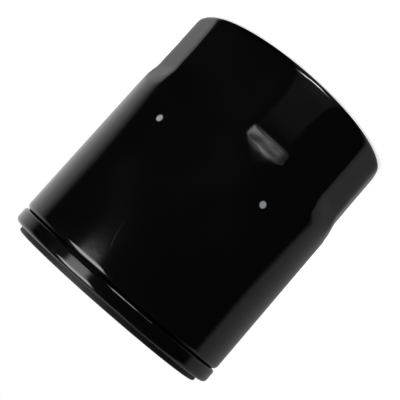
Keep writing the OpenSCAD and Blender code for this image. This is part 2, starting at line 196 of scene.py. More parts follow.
# %% Spin the round can
neck_bend_r, neck_root_r, neck_gap = 1.5 * MM, 1 * MM, 0.25 * MM
hold = 0.2 * MM
end_corner_r = 3 * MM
panel_r, panel_depth, panel_slope, panel_bend_r = 18 * MM, 1 * MM, 2 * MM, 1 * MM
flat_count, flat_depth, corner_depth = 15, 1.25 * MM, 0.6 * MM
flat_top, shoulder_h, shoulder_bend_r = 19 * MM, 6.5 * MM, 4 * MM
fine_below, fine_above = 3 * MM, 4 * MM
fine_span, wall_span, steps_per_flat = 0.4 * MM, 4 * MM, 20

flat_r = body_r - flat_depth
corner_r = body_r - corner_depth
neck_r = can_rise_r + can_sheet / 2
neck_angle = math.acos(1 - (body_r - neck_r) / (neck_bend_r + neck_root_r))
neck_h = (neck_bend_r + neck_root_r) * math.sin(neck_angle)
neck_bottom = seam_bottom - neck_gap + neck_root_r - neck_h
hook_bend_r = layer - can_sheet / 2
slope = (body_r - flat_r) / shoulder_h
corner_slope_h = (body_r - corner_r) / slope
shoulder_low, shoulder_high = flat_top - fine_below, flat_top + shoulder_h + fine_above

can_bm = bmesh.new()
draw_profile(can_bm, [
    (0, panel_depth, 0),
    (panel_r - panel_slope, panel_depth, panel_bend_r),
    (panel_r, 0, panel_bend_r),
    (corner_r, 0, end_corner_r),
    (corner_r, shoulder_low, 0),
    (corner_r, flat_top, shoulder_bend_r),
    (body_r, flat_top + corner_slope_h, shoulder_bend_r),
    (body_r, shoulder_high, 0),
    (body_r, neck_bottom - hold, 0),
    (body_r, neck_bottom + neck_bend_r * math.tan(neck_angle / 2), neck_bend_r),
    (neck_r, neck_bottom + neck_h - neck_root_r * math.tan(neck_angle / 2), neck_root_r),
    (neck_r, hook_z + hook_bend_r, hook_bend_r),
    (lid_hook_r + hook_bend_r, hook_z + hook_bend_r, hook_bend_r),
    (lid_hook_r + hook_bend_r, seam_bottom + lid_sheet + layer + seam_gap, 0)])
cut_edges(can_bm, fine_span, shoulder_low, shoulder_high)
cut_edges(can_bm, wall_span, 0, seam_top)
spin_round(can_bm, steps_per_flat * flat_count)
print("round can:", len(can_bm.faces), "faces")

# %% Press the grip flats
flat_step = math.tau / flat_count
foot_soft, ridge_soft = 0.15 * MM, 0.7 * MM
wall_soft, shoulder_soft = 0.5 * MM, 0.1 * MM


def soft_min(a, b, soft):
    """The lower of two lengths, with the corner between them rounded where they differ by under soft."""
    closeness = max(soft - abs(a - b), 0) / soft
    return min(a, b) - closeness * closeness * soft / 4


def flat_wall(turn, height):
    """Radius of the pressed wall, at an angle from the middle of a flat and at a height."""
    rise = -soft_min(0, -slope * (height - flat_top), foot_soft)
    wall = flat_r + rise
    here = wall / math.cos(turn)
    next_flat = wall / math.cos(flat_step - abs(turn))
    return soft_min(here, next_flat, ridge_soft)


for vert in can_bm.verts:
    radius = math.hypot(vert.co.x, vert.co.y)
    if vert.co.z < shoulder_high and radius > corner_r - end_corner_r:
        turn = math.atan2(vert.co.y, vert.co.x) + math.pi / 2
        turn = (turn + flat_step / 2) % flat_step - flat_step / 2
        soft = wall_soft if vert.co.z < shoulder_low else shoulder_soft
        pressed = soft_min(radius, flat_wall(turn, vert.co.z), soft)
        vert.co.xy *= pressed / radius
can_bm.normal_update()
if sum(face.normal.dot(face.calc_center_median() * Vector((1, 1, 0))) for face in can_bm.faces) < 0:
    bmesh.ops.reverse_faces(can_bm, faces=can_bm.faces[:])
can = finish_piece(can_bm, "painted_can", "housing", ["can"], "black_paint", sharp_angle=deg(180))
thicken(can, can_sheet, offset=-1)

# %% [markdown]
# ## The lid
# The lid is one pressed ring. From its welded land it rises over the bead that holds the gasket,
# drops into the gasket's channel, and climbs over the seam to hook under the can's edge. A sheet
# has one thickness, so its middle line is spun and a Solidify modifier thickens it to both sides.
# The spot welds are dents pushed into the land.

# %% Spin the lid
bead_h, bead_w, gasket_play, gasket_w = 2 * MM, 2.6 * MM, 0.15 * MM, 3.9 * MM
lid_bend_r, weld_land_w = 0.7 * MM, 3.25 * MM
land_span, land_band, lid_steps = 0.3 * MM, 0.1 * MM, 288
bead_out_r = gasket_r - gasket_w - gasket_play
bead_in_r = bead_out_r - bead_w
lid_hole_r = bead_in_r - weld_land_w
floor_mid = channel_z - lid_sheet / 2
bead_mid = floor_mid + bead_h
rim_low = seam_bottom + lid_sheet / 2

lid_bm = bmesh.new()
draw_profile(lid_bm, [
    (lid_hole_r, floor_mid, 0),
    (bead_in_r + lid_sheet / 2, floor_mid, lid_bend_r),
    (bead_in_r + lid_sheet / 2, bead_mid, lid_bend_r),
    (bead_out_r - lid_sheet / 2, bead_mid, lid_bend_r),
    (bead_out_r - lid_sheet / 2, floor_mid, lid_bend_r),
    (seam_wall_r, floor_mid, lid_bend_r),
    (seam_wall_r, seam_top - lid_sheet / 2, roll_r),
    (seam_rim_r, seam_top - lid_sheet / 2, roll_r),
    (seam_rim_r, seam_top - lid_sheet / 2 - roll_r - hold, 0),
    (seam_rim_r, rim_low + layer + hold, 0),
    (seam_rim_r, rim_low, layer),
    (lid_hook_r, rim_low, layer),
    (lid_hook_r, hook_z, 0)])
cut_edges(lid_bm, land_span, floor_mid - land_band, floor_mid + land_band)
spin_round(lid_bm, lid_steps)
print("lid's hole in mm:", round(2 * lid_hole_r / MM, 2))

# %% Dent its spot welds
weld_count, weld_r, weld_depth = 8, 1.1 * MM, 0.2 * MM
dent_reach, dent_fade = 1.15, 0.5
weld_circle_r = (lid_hole_r + bead_in_r) / 2
for vert in lid_bm.verts:
    if math.hypot(vert.co.x, vert.co.y) < bead_in_r:
        turn = math.atan2(vert.co.y, vert.co.x)
        nearest = round(turn / math.tau * weld_count) * math.tau / weld_count
        centre = Vector((math.cos(nearest), math.sin(nearest))) * weld_circle_r
        off_weld = (vert.co.xy - centre).length / weld_r
        dent = min(max((dent_reach - off_weld) / dent_fade, 0), 1)
        vert.co.z -= weld_depth * dent * dent * (3 - 2 * dent)
lid = finish_piece(lid_bm, "seamed_lid", "housing", ["lid"], "zinc_plate", sharp_angle=deg(60))
thicken(lid, lid_sheet, offset=0)

# %% [markdown]
# ## The gasket
# The gasket is a moulded rubber ring of square section. Moulding leaves small round corners, so a
# closed square with four bends is spun. A torus would be the wrong section: the flat face seals.

# %% Spin the gasket
gasket_corner_r, gasket_steps = 0.5 * MM, 192
gasket_in_r = gasket_r - gasket_w
gasket_bm = bmesh.new()
draw_profile(gasket_bm, [
    (gasket_in_r, channel_z, gasket_corner_r),
    (gasket_r, channel_z, gasket_corner_r),
    (gasket_r, gasket_top, gasket_corner_r),
    (gasket_in_r, gasket_top, gasket_corner_r)], closed=True)
spin_round(gasket_bm, gasket_steps)
gasket = finish_piece(
    gasket_bm, "rubber_gasket", "housing", ["gasket"], "gasket_rubber", sharp_angle=deg(60))

# %% [markdown]
# ## The base plate and its thread
# The base plate is a thick punched disc with a collar that is tapped M20 x 1.5. The disc is drawn
# as circles, filled between them and extruded, so the inlet holes are true walls. The thread is
# one pitch of its profile, spun with a rise for each step: a helix that a screw would follow. Two
# planes trim it to the collar's length, and filled rings close the plate onto it.

# %% Fill and extrude the punched disc
plate_t, collar_r, plate_steps = 3 * MM, 11.4 * MM, 192
inlet_count, inlet_r, inlet_land_w, inlet_steps = 8, 2.75 * MM, 0.45 * MM, 48
inlet_circle_r = lid_hole_r - inlet_land_w - inlet_r
plate_low = plate_top - plate_t
plate_bm = bmesh.new()


def lift(extruded, rise):
    """Moves the new points of an extrusion along Z."""
    verts = [part for part in extruded["geom"] if isinstance(part, bmesh.types.BMVert)]
    bmesh.ops.translate(plate_bm, verts=verts, vec=(0, 0, rise))


for radius in (plate_r, collar_r):
    bmesh.ops.create_circle(
        plate_bm, segments=plate_steps, radius=radius, matrix=Matrix.Translation((0, 0, plate_top)))
for i in range(inlet_count):
    turn = (i + 0.5) * math.tau / inlet_count
    place = Matrix.Rotation(turn, 4, "Z") @ Matrix.Translation((inlet_circle_r, 0, plate_top))
    bmesh.ops.create_circle(plate_bm, segments=inlet_steps, radius=inlet_r, matrix=place)
bmesh.ops.triangle_fill(plate_bm, use_beauty=True, edges=plate_bm.edges[:])
disc = bmesh.ops.extrude_face_region(plate_bm, geom=plate_bm.faces[:], use_keep_orig=True)
lift(disc, -plate_t)
print("punched disc:", len(plate_bm.faces), "faces,", inlet_count, "inlet holes")

# %% Open its middle and round its rims
rim_angle, rim_r, rim_steps = deg(60), 0.25 * MM, 3
level_gap = 0.01 * MM


def at_height(edge, height):
    """True where every vertex of an edge lies at a height."""
    return all(abs(vert.co.z - height) < level_gap for vert in edge.verts)


inner_wall = [
    face for face in plate_bm.faces
    if all(abs(math.hypot(vert.co.x, vert.co.y) - collar_r) < tiny for vert in face.verts)]
bmesh.ops.delete(plate_bm, geom=inner_wall, context="FACES")
folded = [
    edge for edge in plate_bm.edges if len(edge.link_faces) == 2 and edge.calc_face_angle() > rim_angle]
rims = [edge for edge in folded if at_height(edge, edge.verts[0].co.z)]
bmesh.ops.bevel(
    plate_bm, geom=rims, offset=rim_r, segments=rim_steps, profile=round_profile, affect="EDGES",
    material=-1, clamp_overlap=True)
print("rounded rims:", len(rims), "edges")

# %% Spin the thread and trim it
pitch, crest_r, root_r, chamfer = 1.5 * MM, 9.19 * MM, 10 * MM, 0.8 * MM
crest_w, root_w = pitch / 4, pitch / 8
flank_h = (pitch - crest_w - root_w) / 2
thread_steps, flank_cuts, spare_turns, lead_in = 72, 2, 2, 1.5 * pitch
turns = math.ceil((plate_top - collar_bottom) / pitch) + spare_turns

thread_bm = bmesh.new()
start = collar_bottom - lead_in
draw_profile(thread_bm, [
    (crest_r, start, 0),
    (crest_r, start + crest_w, 0),
    (root_r, start + crest_w + flank_h, 0),
    (root_r, start + crest_w + flank_h + root_w, 0),
    (crest_r, start + pitch, 0)])
bmesh.ops.subdivide_edges(thread_bm, edges=thread_bm.edges[:], cuts=flank_cuts)
spin(thread_bm, turns * thread_steps, turns, rise=pitch / thread_steps)
bmesh.ops.remove_doubles(thread_bm, verts=thread_bm.verts[:], dist=2 * tiny)
for height, side in ((plate_top, 1), (collar_bottom, -1)):
    bmesh.ops.bisect_plane(
        thread_bm, geom=thread_bm.verts[:] + thread_bm.edges[:] + thread_bm.faces[:], dist=tiny,
        plane_co=(0, 0, height), plane_no=(0, 0, side), clear_outer=True)
for vert in thread_bm.verts:
    radius = math.hypot(vert.co.x, vert.co.y)
    mouth = max(vert.co.z - plate_top, collar_bottom - vert.co.z) + chamfer
    vert.co.xy *= max(radius, crest_r + mouth) / radius
print("thread:", turns, "turns before the trim,", len(thread_bm.faces), "faces")

# %% Join the thread, the collar and the disc
thread_mesh = bpy.data.meshes.new("thread")
thread_bm.to_mesh(thread_mesh)
thread_bm.free()
plate_bm.from_mesh(thread_mesh)
bpy.data.meshes.remove(thread_mesh)


def open_loop(height):
    """The plate's open edges that lie at a height."""
    return [edge for edge in plate_bm.edges if len(edge.link_faces) == 1 and at_height(edge, height)]


collar = bmesh.ops.extrude_edge_only(plate_bm, edges=open_loop(plate_low))
lift(collar, collar_bottom - plate_low)
for height in (plate_top, collar_bottom):
    bmesh.ops.triangle_fill(plate_bm, use_beauty=True, edges=open_loop(height))
bmesh.ops.remove_doubles(plate_bm, verts=plate_bm.verts[:], dist=tiny)
bmesh.ops.recalc_face_normals(plate_bm, faces=plate_bm.faces[:])
print("open edges left on the base plate:", sum(len(edge.link_faces) != 2 for edge in plate_bm.edges))
plate = finish_piece(
    plate_bm, "tapped_base_plate", "housing", ["base_plate"], "plate_steel", sharp_angle=deg(30))

# %% [markdown]
# ## The two springs
# The coil of the bypass valve and the leaf under the element are squeezed when the valve or the
# element moves. The coil is a circle of wire spun with a rise. The leaf's solid has the right
# shape, so a merged copy is used. Each spring gets a mesh of its own.

# %% Wind the coil
coil_low, coil_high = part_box("bypass_spring")
wire_r, wire_steps = 0.45 * MM, 12
coil_r, coil_turns, steps_per_turn = 4.45 * MM, 5, 32
coil_steps = steps_per_turn * coil_turns
coil_rise = coil_high.z - coil_low.z - 2 * wire_r

coil_bm = bmesh.new()
wire_place = Matrix.Translation((coil_r, 0, coil_low.z + wire_r)) @ Matrix.Rotation(math.pi / 2, 4, "X")
bmesh.ops.create_circle(coil_bm, segments=wire_steps, radius=wire_r, matrix=wire_place)
spin(coil_bm, coil_steps, coil_turns, rise=coil_rise / coil_steps)
bmesh.ops.holes_fill(coil_bm, edges=[edge for edge in coil_bm.edges if edge.is_boundary])
bmesh.ops.recalc_face_normals(coil_bm, faces=coil_bm.faces[:])
coil = finish_piece(
    coil_bm, "wound_coil", "element", ["bypass_spring"], "spring_steel", sharp_angle=deg(40))

# %% Copy the leaf and give both springs a mesh of their own
leaf_bm = bmesh.new()
leaf_bm.from_mesh(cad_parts["element_spring"].data)
bmesh.ops.remove_doubles(leaf_bm, verts=leaf_bm.verts[:], dist=tiny)
leaf = finish_piece(
    leaf_bm, "leaf_under_element", "housing", ["element_spring"], "spring_steel", sharp_angle=deg(30))

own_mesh(coil)
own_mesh(leaf)

# %% [markdown]
# ## Node helpers and shared effects
# Every finish starts from noise in Object coordinates, which are metres here, so a size in the
# material is a size on the part. What several finishes share is a node group, built once: a fine
# grain over a broad mottle, thin scratches, and the distance from the filter's axis.

# %% Put nodes into a tree
def fill(tree, node, **inputs):
    """Links or sets a node's inputs, named with underscores for spaces, or in0, in1 for a place."""
    for name, value in inputs.items():
        by_place = name.startswith("in") and name[2:].isdigit()
        socket = node.inputs[int(name[2:]) if by_place else name.replace("_", " ")]
        if isinstance(value, bpy.types.NodeSocket):
            tree.links.new(value, socket)
        else:
            socket.default_value = value
    return node


def put(tree, kind, settings=None, **inputs):
    """Adds a node with its settings and its inputs."""
    node = tree.nodes.new(kind)
    for name, value in (settings or {}).items():
        setattr(node, name, value)
    return fill(tree, node, **inputs)


def new_group(name, inputs, outputs, colours=()):
    """A node group, what it is given and its output node. The sockets named in colours hold colours."""
    tree = bpy.data.node_groups.new(name, "ShaderNodeTree")
    for in_out, labels in (("INPUT", inputs), ("OUTPUT", outputs)):
        for label in labels:
            kind = "NodeSocketColor" if label in colours else "NodeSocketFloat"
            tree.interface.new_socket(label, in_out=in_out, socket_type=kind)
    return tree, tree.nodes.new("NodeGroupInput").outputs, tree.nodes.new("NodeGroupOutput")


def use_group(tree, group, **inputs):
    """Places a node group in a tree and returns its outputs."""
    return put(tree, "ShaderNodeGroup", {"node_tree": group}, **inputs).outputs


introduce(fill, put, new_group, use_group)

# %% Work with values and places
def calc(tree, operation, *values):
    """One step of arithmetic."""
    inputs = {f"in{i}": value for i, value in enumerate(values)}
    return put(tree, "ShaderNodeMath", {"operation": operation}, **inputs).outputs[0]


def apart(tree, first, second):
    """How far apart two values are."""
    return calc(tree, "ABSOLUTE", calc(tree, "SUBTRACT", first, second))


def spread(tree, value, low, high, to_low, to_high, shape="LINEAR"):
    """Maps a range of values onto another, clamped at its ends."""
    node = put(tree, "ShaderNodeMapRange", {"interpolation_type": shape},
               in0=value, in1=low, in2=high, in3=to_low, in4=to_high)
    return node.outputs[0]


def ease(tree, *levels):
    """Spreads a value with a smooth start and a smooth end."""
    return spread(tree, *levels, shape="SMOOTHSTEP")


def blend_colours(tree, share, first, second):
    """Mixes two colours by a share that changes over the surface."""
    node = put(tree, "ShaderNodeMix", {"data_type": "RGBA"}, in0=share, in6=first, in7=second)
    return node.outputs[2]


def blend_values(tree, share, first, second):
    """Mixes two numbers by a share that changes over the surface."""
    return put(tree, "ShaderNodeMix", in0=share, in2=first, in3=second).outputs[0]


def own_place(tree):
    """The place in Object coordinates, in metres."""
    return put(tree, "ShaderNodeTexCoord").outputs["Object"]


def parts_of(tree, vector):
    """The X, Y and Z of a vector."""
    return put(tree, "ShaderNodeSeparateXYZ", in0=vector).outputs


def length_of(tree, vector):
    """The length of a vector."""
    return put(tree, "ShaderNodeVectorMath", {"operation": "LENGTH"}, in0=vector).outputs["Value"]


def noise(tree, place, scale, detail):
    """Cloudy noise round 0.5."""
    return put(tree, "ShaderNodeTexNoise", Vector=place, Scale=scale, Detail=detail).outputs[0]


introduce(calc, apart, spread, ease, blend_colours, blend_values)
introduce(own_place, parts_of, length_of, noise)

# %% Build the grain
noise_low, noise_middle, noise_high = 0.25, 0.5, 0.75
fine_detail, broad_detail = 3, 5


def make_grain():
    """Fine grain, a broad mottle and a mixture of both, each from 0 to 1."""
    tree, given, out = new_group(
        "grain", ["Fine Scale", "Broad Scale", "Fine Share"], ["Fine", "Broad", "Mottle"])
    place = own_place(tree)
    fine, broad = (
        spread(tree, noise(tree, place, given[scale], detail), noise_low, noise_high, 0, 1)
        for scale, detail in (("Fine Scale", fine_detail), ("Broad Scale", broad_detail)))
    broad_part = calc(tree, "MULTIPLY", broad, calc(tree, "SUBTRACT", 1, given["Fine Share"]))
    mottle = calc(tree, "MULTIPLY_ADD", fine, given["Fine Share"], broad_part)
    fill(tree, out, Fine=fine, Broad=broad, Mottle=mottle)
    return tree


grain = make_grain()
print("grain:", len(grain.nodes), "nodes")

# %% Build the scratches and the turning
scratch_tilts, scratch_stretch, scratch_detail = ((0.3, 0.2, 0.9), (1.1, 0.7, -0.5)), (1, 1, 0.12), 1
patch_scale, patch_detail, patch_low, patch_high = 70, 2, 0.5, 0.65
ring_detail = 2


def make_scratches():
    """Thin scratches: narrow bands of two stretched noises, kept in patches."""
    tree, given, out = new_group("scratches", ["Scale", "Width"], ["Mask"])
    place = own_place(tree)
    lines = []
    for tilt in scratch_tilts:
        turned = put(tree, "ShaderNodeMapping", Vector=place, Rotation=tilt, Scale=scratch_stretch)
        level = noise(tree, turned.outputs[0], given["Scale"], scratch_detail)
        off_middle = apart(tree, level, noise_middle)
        lines.append(calc(tree, "LESS_THAN", off_middle, given["Width"]))
    patch = noise(tree, place, patch_scale, patch_detail)
    kept = spread(tree, patch, patch_low, patch_high, 0, 1)
    fill(tree, out, Mask=calc(tree, "MULTIPLY", calc(tree, "MAXIMUM", *lines), kept))
    return tree


def make_turning():
    """Distance from the filter's axis in metres, and fine rings that follow it."""
    tree, given, out = new_group("turning", ["Ring Scale"], ["Radius", "Rings"])
    flat = put(tree, "ShaderNodeVectorMath", {"operation": "MULTIPLY"}, in0=own_place(tree), in1=(1, 1, 0))
    radius = length_of(tree, flat.outputs[0])
    rings = put(tree, "ShaderNodeTexNoise", {"noise_dimensions": "1D"},
                W=radius, Scale=given["Ring Scale"], Detail=ring_detail)
    fill(tree, out, Radius=radius, Rings=rings.outputs[0])
    return tree


scratches, turning = make_scratches(), make_turning()
print("scratches:", len(scratches.nodes), "nodes, turning:", len(turning.nodes), "nodes")

# %% [markdown]
# ## Black paint
# The can is sprayed with gloss black enamel after the seam is rolled, so two pieces share it as a
# node group. It reads as paint by its sharp reflection with a slight orange peel, a few scratches
# that scatter light, and a film of dust. White dots are printed round the can: a distance worked
# out in the material keeps them sharp.

# %% Build the enamel
paint_black = (0.0025, 0.0025, 0.0028, 1)
dust_grey = (0.02, 0.02, 0.021, 1)
peel_scale, peel_depth = 900, 0.002 * MM
dust_scale, dust_from, dust_most = 45, 0.5, 0.12
hairline_scale, hairline_w, hairline_dust, hairline_rough = 60, 0.0015, 0.1, 0.08
gloss_low, gloss_high = 0.06, 0.11


def make_enamel():
    """Sprayed enamel: its colour under a film of dust, its roughness and its orange peel."""
    tree, given, out = new_group(
        "enamel", ["Paint", "Dust"], ["Colour", "Roughness", "Peel"], colours=["Paint", "Dust", "Colour"])
    specks = use_group(tree, grain, Fine_Scale=peel_scale, Broad_Scale=dust_scale)
    marks = use_group(tree, scratches, Scale=hairline_scale, Width=hairline_w)["Mask"]
    dusty = calc(tree, "MAXIMUM",
                 spread(tree, specks["Broad"], dust_from, 1, 0, dust_most),
                 calc(tree, "MULTIPLY", marks, hairline_dust))
    gloss = spread(tree, specks["Broad"], 0, 1, gloss_low, gloss_high)
    fill(tree, out,
         Colour=blend_colours(tree, dusty, given["Paint"], given["Dust"]),
         Roughness=calc(tree, "MULTIPLY_ADD", marks, hairline_rough, gloss),
         Peel=specks["Fine"])
    return tree


enamel = make_enamel()
print("enamel:", len(enamel.nodes), "nodes")

# %% Make the paint and its printed dots
ink_white, ink_rough, ink_edge = (0.32, 0.33, 0.345, 1), 0.25, 0.08 * MM
dot_count, dot_r, dot_z, dot_turn = 6, 0.93 * MM, 32.65 * MM, deg(-105.1)


def new_finish(name):
    """A node material, with its tree and its Principled shader."""
    material = bpy.data.materials.new(name)
    material.use_nodes = True
    return material, material.node_tree, material.node_tree.nodes["Principled BSDF"]


def bump(tree, height, depth):
    """Turns a height from 0 to 1 into a relief of that depth in metres."""
    return put(tree, "ShaderNodeBump", Strength=1, Distance=depth, Height=height).outputs[0]


def dot_mask(tree):
    """1 inside a printed dot: the distance on the can's wall to the nearest of the dots."""
    place = parts_of(tree, own_place(tree))
    turn = calc(tree, "SUBTRACT", calc(tree, "ARCTAN2", place["Y"], place["X"]), dot_turn)
    half_step = math.pi / dot_count
    along = calc(tree, "MULTIPLY", calc(tree, "WRAP", turn, half_step, -half_step), body_r)
    up = calc(tree, "SUBTRACT", place["Z"], dot_z)
    off_dot = length_of(tree, put(tree, "ShaderNodeCombineXYZ", in0=along, in1=up).outputs[0])
    return spread(tree, off_dot, dot_r - ink_edge, dot_r + ink_edge, 1, 0)


def make_black_paint():
    """Enamel with the ring of printed dots."""
    material, tree, shader = new_finish("black_paint")
    paint = use_group(tree, enamel, Paint=paint_black, Dust=dust_grey)
    dots = dot_mask(tree)
    fill(tree, shader,
         Base_Color=blend_colours(tree, dots, paint["Colour"], ink_white),
         Roughness=calc(tree, "MULTIPLY_ADD", dots, ink_rough, paint["Roughness"]),
         Normal=bump(tree, paint["Peel"], peel_depth))
    return material


black_paint = make_black_paint()
print("made", black_paint.name, "with", dot_count, "dots")

# %% [markdown]
# ## Zinc, steel and tin
# The base plate and the valve's poppet are steel with turning marks, the springs are dark steel,
# and the pressed pieces inside are tinplate. The lid is zinc plated, and the can's paint covers
# its rim as far as the gasket's channel. A metal's colour is its reflection, so the detail is in
# how its roughness and its tone change.

# %% Build the plating and make the bare metals
steel_bright, steel_dull = (0.5, 0.49, 0.47, 1), (0.24, 0.23, 0.22, 1)
tin_bright, tin_dull = (0.72, 0.71, 0.67, 1), (0.5, 0.49, 0.45, 1)
spring_bright, spring_dull = (0.3, 0.31, 0.33, 1), (0.12, 0.125, 0.14, 1)
mottle_scale, metal_fine_share, plating_depth, ring_scale = 220, 0.4, 0.004 * MM, 2500
scratch_scale, scratch_w, scratch_rough = 140, 0.006, 0.15


def make_plating():
    """Plated sheet: a mottle of a bright and a dull tone, its roughness, and its relief with scratches."""
    tree, given, out = new_group(
        "plating", ["Bright", "Dull", "Fine Scale", "Low Roughness", "High Roughness"],
        ["Colour", "Roughness", "Relief"], colours=["Bright", "Dull", "Colour"])
    specks = use_group(tree, grain, Fine_Scale=given["Fine Scale"], Broad_Scale=mottle_scale,
                       Fine_Share=metal_fine_share)
    marks = use_group(tree, scratches, Scale=scratch_scale, Width=scratch_w)["Mask"]
    satin = spread(tree, specks["Mottle"], 0, 1, given["Low Roughness"], given["High Roughness"])
    fill(tree, out,
         Colour=blend_colours(tree, specks["Mottle"], given["Bright"], given["Dull"]),
         Roughness=calc(tree, "MULTIPLY_ADD", marks, scratch_rough, satin),
         Relief=calc(tree, "SUBTRACT", specks["Fine"], marks))
    return tree


def make_metal(name, rings=0, **tones):
    """A bare metal finish from the plating's own inputs, with turning marks where rings is above 0."""
    material, tree, shader = new_finish(name)
    sheet = use_group(tree, plating, **tones)
    relief = sheet["Relief"]
    if rings:
        turned = use_group(tree, turning, Ring_Scale=ring_scale)
        relief = calc(tree, "MULTIPLY_ADD", turned["Rings"], rings, relief)
    fill(tree, shader, Metallic=1, Base_Color=sheet["Colour"], Roughness=sheet["Roughness"],
         Normal=bump(tree, relief, plating_depth))
    return material


plating = make_plating()
plate_steel = make_metal("plate_steel", rings=1.2, Bright=steel_bright, Dull=steel_dull,
                         Fine_Scale=1600, Low_Roughness=0.3, High_Roughness=0.5)
tin_plate = make_metal("tin_plate", Bright=tin_bright, Dull=tin_dull,
                       Fine_Scale=2200, Low_Roughness=0.18, High_Roughness=0.34)
spring_steel = make_metal("spring_steel", Bright=spring_bright, Dull=spring_dull,
                          Fine_Scale=2400, Low_Roughness=0.28, High_Roughness=0.45)
print("made", [material.name for material in (plate_steel, tin_plate, spring_steel)])

# %% Make the lid's zinc and its painted rim
zinc_bright, zinc_dull = (0.62, 0.63, 0.64, 1), (0.38, 0.39, 0.4, 1)
# A light grey for a painted highlight: a thin broken line on the front of the seam's rim.
painted_highlight_grey = (0.5, 0.5, 0.5, 1)
painted_highlight_z, painted_highlight_core, painted_highlight_edge = seam_bottom + 0.6 * MM, 0.04 * MM, 0.12 * MM
painted_highlight_inner, painted_highlight_half = deg(8.75), deg(12.5)
break_scale, break_detail, break_low, break_high, break_least = 300, 3, 0.4, 0.58, 0.1
mist_fine_scale, mist_broad_scale = 2500, 150
mist_grain, mist_wander = 0.25 * MM, 0.3 * MM
paint_from, paint_full = seam_wall_r + 0.1 * MM, seam_wall_r + 0.5 * MM


def painted_highlight_line(tree):
    """A painted highlight: a short broken light grey line on the rim's front, laid into the paint's
    colour.
    """
    spot = own_place(tree)
    place = parts_of(tree, spot)
    off_line = apart(tree, place["Z"], painted_highlight_z)
    line = spread(tree, off_line, painted_highlight_core, painted_highlight_edge, 1, 0)
    turn = calc(tree, "ARCTAN2", place["X"], calc(tree, "MULTIPLY", place["Y"], -1))
    in_front = spread(tree, calc(tree, "ABSOLUTE", turn), painted_highlight_inner, painted_highlight_half, 1, 0)
    patch = noise(tree, spot, break_scale, break_detail)
    broken = spread(tree, patch, break_low, break_high, break_least, 1)
    return calc(tree, "MULTIPLY", calc(tree, "MULTIPLY", line, in_front), broken)


def make_seam_finish():
    """Zinc inside the seam's crown, and black paint outside it with a sprayed edge and a painted highlight
    line on the rim's front.
    """
    material, tree, shader = new_finish("zinc_plate")
    sheet = use_group(tree, plating, Bright=zinc_bright, Dull=zinc_dull,
                      Fine_Scale=1800, Low_Roughness=0.24, High_Roughness=0.42)
    paint = use_group(tree, enamel, Paint=paint_black, Dust=dust_grey)
    # The paint's colour takes the painted highlight line on the rim's front.
    black = blend_colours(tree, painted_highlight_line(tree), paint["Colour"], painted_highlight_grey)
    radius = use_group(tree, turning)["Radius"]
    mist = use_group(tree, grain, Fine_Scale=mist_fine_scale, Broad_Scale=mist_broad_scale)
    uneven = calc(tree, "MULTIPLY_ADD", mist["Broad"], mist_wander, radius)
    edge = calc(tree, "MULTIPLY_ADD", mist["Fine"], mist_grain, uneven)
    painted = spread(tree, edge, paint_from, paint_full, 0, 1)
    relief = blend_values(tree, painted, sheet["Relief"], paint["Peel"])
    fill(tree, shader,
         Base_Color=blend_colours(tree, painted, sheet["Colour"], black),
         Metallic=calc(tree, "SUBTRACT", 1, painted),
         Roughness=blend_values(tree, painted, sheet["Roughness"], paint["Roughness"]),
         Normal=bump(tree, relief, peel_depth))
    return material


seam_finish = make_seam_finish()
print("made", seam_finish.name, "painted from a radius in mm:", round(paint_from / MM, 2))

# %% [markdown]
# ## Rubber, adhesive and paper
# Moulded nitrile rubber is a dark satin with a pale bloom. The adhesive is a cured plastisol, and
# the filter paper is a resin-soaked crepe whose fibres show as a fine, uneven grain. None is a
# metal, so the roughness is high and the relief does most of the work.

# %% Make the soft finishes
soft_fine_share = 0.35


def make_soft(name, dark, pale, scales, rough, depth, shine=0.5):
    """A matt finish: two tones in a mottle, with a grain of a given depth."""
    material, tree, shader = new_finish(name)
    fine_scale, broad_scale = scales
    specks = use_group(tree, grain, Fine_Scale=fine_scale, Broad_Scale=broad_scale,
                       Fine_Share=soft_fine_share)
    fill(tree, shader, Specular_IOR_Level=shine,
         Base_Color=blend_colours(tree, specks["Mottle"], dark, pale),
         Roughness=spread(tree, specks["Broad"], 0, 1, *rough),
         Normal=bump(tree, specks["Fine"], depth))
    return material


gasket_rubber = make_soft(
    "gasket_rubber", dark=(0.006, 0.006, 0.007, 1), pale=(0.017, 0.017, 0.019, 1),
    scales=(2600, 160), rough=(0.38, 0.55), depth=0.01 * MM, shine=0.2)
valve_rubber = make_soft(
    "valve_rubber", dark=(0.01, 0.01, 0.01, 1), pale=(0.03, 0.029, 0.028, 1),
    scales=(2200, 140), rough=(0.45, 0.6), depth=0.01 * MM)
adhesive = make_soft(
    "adhesive", dark=(0.13, 0.12, 0.07, 1), pale=(0.22, 0.2, 0.12, 1),
    scales=(900, 120), rough=(0.35, 0.5), depth=0.03 * MM)
filter_paper = make_soft(
    "filter_paper", dark=(0.5, 0.36, 0.14, 1), pale=(0.72, 0.56, 0.28, 1),
    scales=(3200, 300), rough=(0.75, 0.9), depth=0.04 * MM)
print("made", [material.name for material in (gasket_rubber, valve_rubber, adhesive, filter_paper)])

# %% [markdown]
# ## Give every piece its finish
# The modelled pieces get their material here, and so does each CAD node that stays. A CAD node is
# never reshaped: only the material in its slot changes.

# %% Assign the materials
for piece, material in (
        (can, black_paint), (lid, seam_finish), (gasket, gasket_rubber), (plate, plate_steel),
        (coil, spring_steel), (leaf, spring_steel)):
    piece.data.materials.clear()
    piece.data.materials.append(material)
for names, material in (
        (("drain_valve", "bypass_seal"), valve_rubber),
        (("base_adhesive", "dome_adhesive"), adhesive),
        (("filter_paper",), filter_paper),
        (("base_end_cap", "dome_end_cap", "centre_tube", "paper_clip", "bypass_cage"), tin_plate),
        (("bypass_poppet",), plate_steel)):
    for name in names:
        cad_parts[name].material_slots[0].material = material
print("finishes:", len(bpy.data.materials))

# %% [markdown]
# ## Camera
# The filter is seen from the side, a little above the middle, and the picture is turned so that the
# base points down to the left. The camera is placed by its distance, height and turn from the axis,
# and rolled round its own line of sight.

